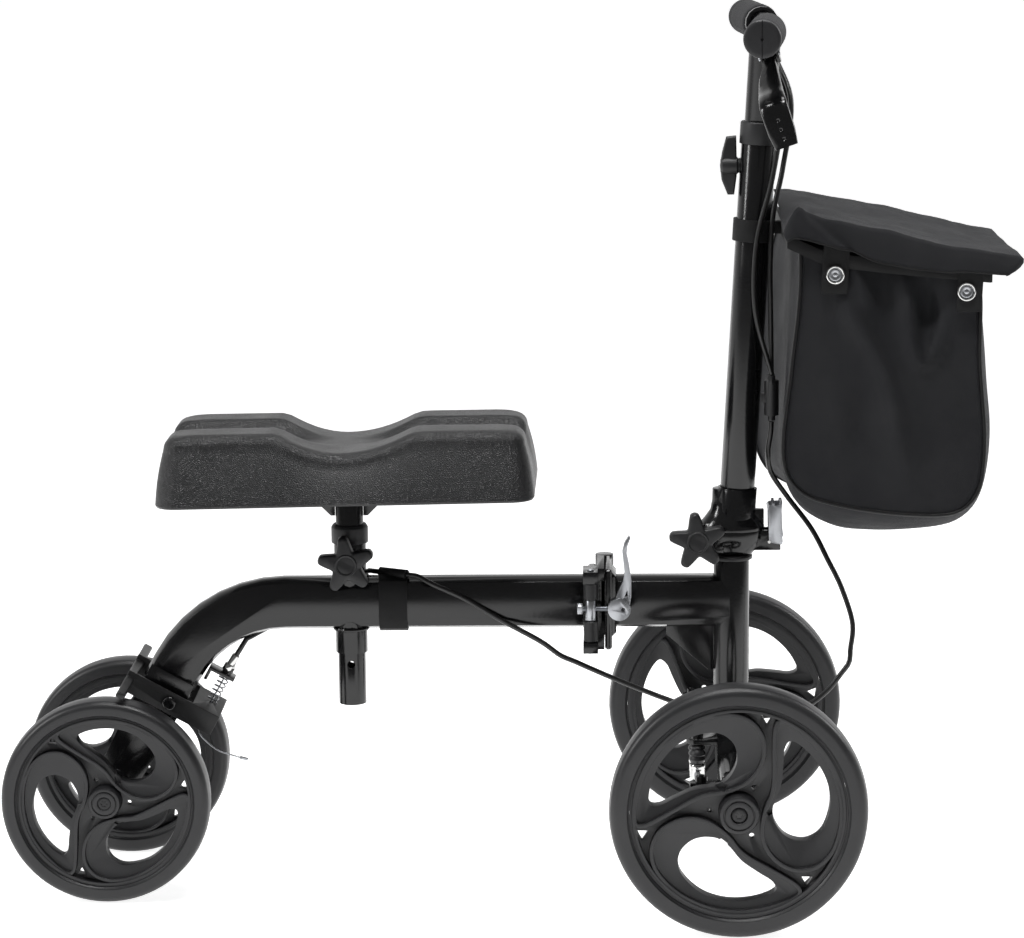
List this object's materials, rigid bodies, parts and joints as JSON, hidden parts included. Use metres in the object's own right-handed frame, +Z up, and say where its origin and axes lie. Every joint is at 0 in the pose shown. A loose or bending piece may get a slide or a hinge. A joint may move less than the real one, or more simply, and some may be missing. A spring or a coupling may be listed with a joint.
{
  "type": "folding knee scooter",
  "caption": "Folding knee scooter with padded knee rest, steered front wheels, tyre brake and a lidded bag.",
  "frame": {"origin": "middle of the scooter's length and width, on the floor under the wheels", "axes": "+X forward, +Y to the rider's left, +Z up"},
  "size_m": [0.9256, 0.423, 0.8045],
  "materials": {
    "powder_black": "semi-gloss powder coat",
    "casting_black": "semi-gloss paint on castings",
    "wheel_grey": "satin moulded plastic",
    "tyre_grey": "matte solid tyre",
    "pad_black": "grained moulded skin",
    "knob_black": "matte moulded plastic",
    "foam_black": "matte foam rubber",
    "cloth_black": "woven nylon",
    "zinc": "bright zinc plate",
    "cable_black": "smooth sheath"
  },
  "bodies": {
    "rear_frame": {"rear_beam": "powder_black", "seat_sleeve": "powder_black", "sleeve_collar": "knob_black", "rear_fork": "powder_black", "rear_axle": "knob_black", "brake_pivot_bolt": "zinc", "rear_cable_stop": "zinc", "cable_strap": "cloth_black", "rear_hinge_casting": "casting_black", "brake_cable_at_rear": "cable_black"},
    "seat": {"seat_post": "powder_black", "seat_plate": "powder_black", "knee_pad": "pad_black"},
    "seat_clamp_knob": {"seat_knob": "knob_black"},
    "rear_right_wheel": {"rear_right_rim": "wheel_grey", "rear_right_tyre": "tyre_grey"},
    "rear_left_wheel": {"rear_left_rim": "wheel_grey", "rear_left_tyre": "tyre_grey"},
    "rear_brake": {"rear_brake_channel": "powder_black", "brake_wire": "zinc", "brake_spring": "zinc"},
    "latch_swing": {"swing_bolt": "zinc"},
    "latch_cam": {"cam_lever": "zinc"},
    "front_frame": {"front_hinge_casting": "casting_black", "front_beam": "powder_black", "head_tube": "powder_black", "head_bearing": "knob_black", "steering_bridge": "powder_black", "brake_cable_under_frame": "cable_black"},
    "fork": {"steerer_and_plate": "powder_black", "fold_base": "casting_black", "brake_cable_at_fork": "cable_black"},
    "right_steering_knuckle": {"right_knuckle": "powder_black"},
    "left_steering_knuckle": {"left_knuckle": "powder_black"},
    "right_tie": {"right_tie_rod": "zinc"},
    "left_tie": {"left_tie_rod": "zinc"},
    "front_right_wheel": {"front_right_rim": "wheel_grey", "front_right_tyre": "tyre_grey"},
    "front_left_wheel": {"front_left_rim": "wheel_grey", "front_left_tyre": "tyre_grey"},
    "column_latch": {"fold_latch": "zinc"},
    "column": {"fold_head": "casting_black", "column_tube": "powder_black", "column_collar": "knob_black", "bag_carrier": "powder_black", "bag_shell": "cloth_black", "cable_junction": "knob_black", "brake_cable_at_column": "cable_black"},
    "fold_pin_knob": {"fold_knob": "knob_black"},
    "height_clamp_knob": {"height_knob": "knob_black"},
    "lid": {"bag_lid": "cloth_black"},
    "handlebar": {"stem_and_bar": "powder_black", "left_grip": "foam_black", "right_grip": "foam_black", "left_lever_bracket": "casting_black", "right_lever_bracket": "casting_black", "left_lever_cable": "cable_black", "right_lever_cable": "cable_black"},
    "right_lever": {"right_brake_lever": "casting_black"},
    "left_lever": {"left_brake_lever": "casting_black"}
  },
  "joints": [
    {"name": "seat_height", "type": "slide", "parent": "rear_frame", "child": "seat", "axis": [0, 0, -1], "range_m": [-0.1, 0]},
    {"name": "seat_knob_turn", "type": "hinge", "parent": "rear_frame", "child": "seat_clamp_knob", "pos_m": [-0.14661, -0.03, 0.3025], "axis": [0, -1, 0], "continuous": true},
    {"name": "rear_right_wheel_spin", "type": "hinge", "parent": "rear_frame", "child": "rear_right_wheel", "pos_m": [-0.36711, -0.0795, 0.09525], "axis": [0, 1, 0], "continuous": true},
    {"name": "rear_left_wheel_spin", "type": "hinge", "parent": "rear_frame", "child": "rear_left_wheel", "pos_m": [-0.36711, 0.0795, 0.09525], "axis": [0, 1, 0], "continuous": true},
    {"name": "rear_brake_pivot", "type": "hinge", "parent": "rear_frame", "child": "rear_brake", "pos_m": [-0.31343, 0, 0.17354], "axis": [0, -1, 0], "range_deg": [0, 3.3], "deforming": ["brake_spring"]},
    {"name": "latch_swing_out", "type": "hinge", "parent": "rear_frame", "child": "latch_swing", "pos_m": [0.07589, -0.038, 0.2615], "axis": [0, 0, -1], "range_deg": [0, 90]},
    {"name": "latch_cam_open", "type": "hinge", "parent": "latch_swing", "child": "latch_cam", "pos_m": [0.10549, -0.038, 0.2615], "axis": [0, 1, 0], "range_deg": [0, 45]},
    {"name": "frame_fold", "type": "hinge", "parent": "rear_frame", "child": "front_frame", "pos_m": [0.08839, 0.038, 0.259], "axis": [0, 0, 1], "range_deg": [0, 118], "deforming": ["brake_cable_under_frame"]},
    {"name": "steering", "type": "hinge", "parent": "front_frame", "child": "fork", "pos_m": [0.20589, 0, 0.3], "axis": [0, 0, 1], "range_deg": [-30, 30], "deforming": ["brake_cable_at_fork"]},
    {"name": "right_knuckle_turn", "type": "hinge", "parent": "front_frame", "child": "right_steering_knuckle", "pos_m": [0.20589, -0.15, 0.112], "axis": [0, 0, 1], "range_deg": [-30, 30]},
    {"name": "left_knuckle_turn", "type": "hinge", "parent": "front_frame", "child": "left_steering_knuckle", "pos_m": [0.20589, 0.15, 0.112], "axis": [0, 0, 1], "range_deg": [-30, 30]},
    {"name": "right_tie_rod_turn", "type": "hinge", "parent": "fork", "child": "right_tie", "pos_m": [0.17389, -0.01, 0.098], "axis": [0, 0, 1], "range_deg": [-30, 30]},
    {"name": "left_tie_rod_turn", "type": "hinge", "parent": "fork", "child": "left_tie", "pos_m": [0.17389, 0.01, 0.098], "axis": [0, 0, 1], "range_deg": [-30, 30]},
    {"name": "front_right_wheel_spin", "type": "hinge", "parent": "right_steering_knuckle", "child": "front_right_wheel", "pos_m": [0.20589, -0.1925, 0.1143], "axis": [0, 1, 0], "continuous": true},
    {"name": "front_left_wheel_spin", "type": "hinge", "parent": "left_steering_knuckle", "child": "front_left_wheel", "pos_m": [0.20589, 0.1925, 0.1143], "axis": [0, 1, 0], "continuous": true},
    {"name": "column_latch_open", "type": "hinge", "parent": "fork", "child": "column_latch", "pos_m": [0.24689, 0, 0.318], "axis": [0, 1, 0], "range_deg": [0, 75]},
    {"name": "column_fold", "type": "hinge", "parent": "fork", "child": "column", "pos_m": [0.17519, 0, 0.322], "axis": [0, -1, 0], "range_deg": [0, 58], "deforming": ["brake_cable_at_column"]},
    {"name": "fold_knob_turn", "type": "hinge", "parent": "column", "child": "fold_pin_knob", "pos_m": [0.17519, -0.03, 0.322], "axis": [0, -1, 0], "continuous": true},
    {"name": "height_knob_turn", "type": "hinge", "parent": "column", "child": "height_clamp_knob", "pos_m": [0.20589, 0, 0.6635], "axis": [-1, 0, 0], "continuous": true},
    {"name": "bag_lid_open", "type": "hinge", "parent": "column", "child": "lid", "pos_m": [0.25489, 0, 0.63], "axis": [0, -1, 0], "range_deg": [0, 80]},
    {"name": "handle_height", "type": "slide", "parent": "column", "child": "handlebar", "axis": [0.0598, 0, 0.9982], "range_m": [0, 0.2], "deforming": ["right_lever_cable", "left_lever_cable"]},
    {"name": "right_lever_squeeze", "type": "hinge", "parent": "handlebar", "child": "right_lever", "pos_m": [0.23683, -0.06602, 0.76619], "axis": [-0.9422, 0.0791, -0.3256], "range_deg": [0, 18], "stiffness_Nm_per_rad": 0.6, "springref_deg": -17.19},
    {"name": "left_lever_squeeze", "type": "hinge", "parent": "handlebar", "child": "left_lever", "pos_m": [0.24022, 0.0663, 0.76664], "axis": [0.8799, 0.0739, 0.4695], "range_deg": [0, 18], "stiffness_Nm_per_rad": 0.6, "springref_deg": -17.19}
  ],
  "couplings": [
    {"joint": "right_knuckle_turn", "follows": "steering", "ratio": 1},
    {"joint": "left_knuckle_turn", "follows": "steering", "ratio": 1},
    {"joint": "right_tie_rod_turn", "follows": "steering", "ratio": -1},
    {"joint": "left_tie_rod_turn", "follows": "steering", "ratio": -1},
    {"joint": "rear_brake_pivot", "follows": "right_lever_squeeze", "ratio": 0.1833}
  ]
}
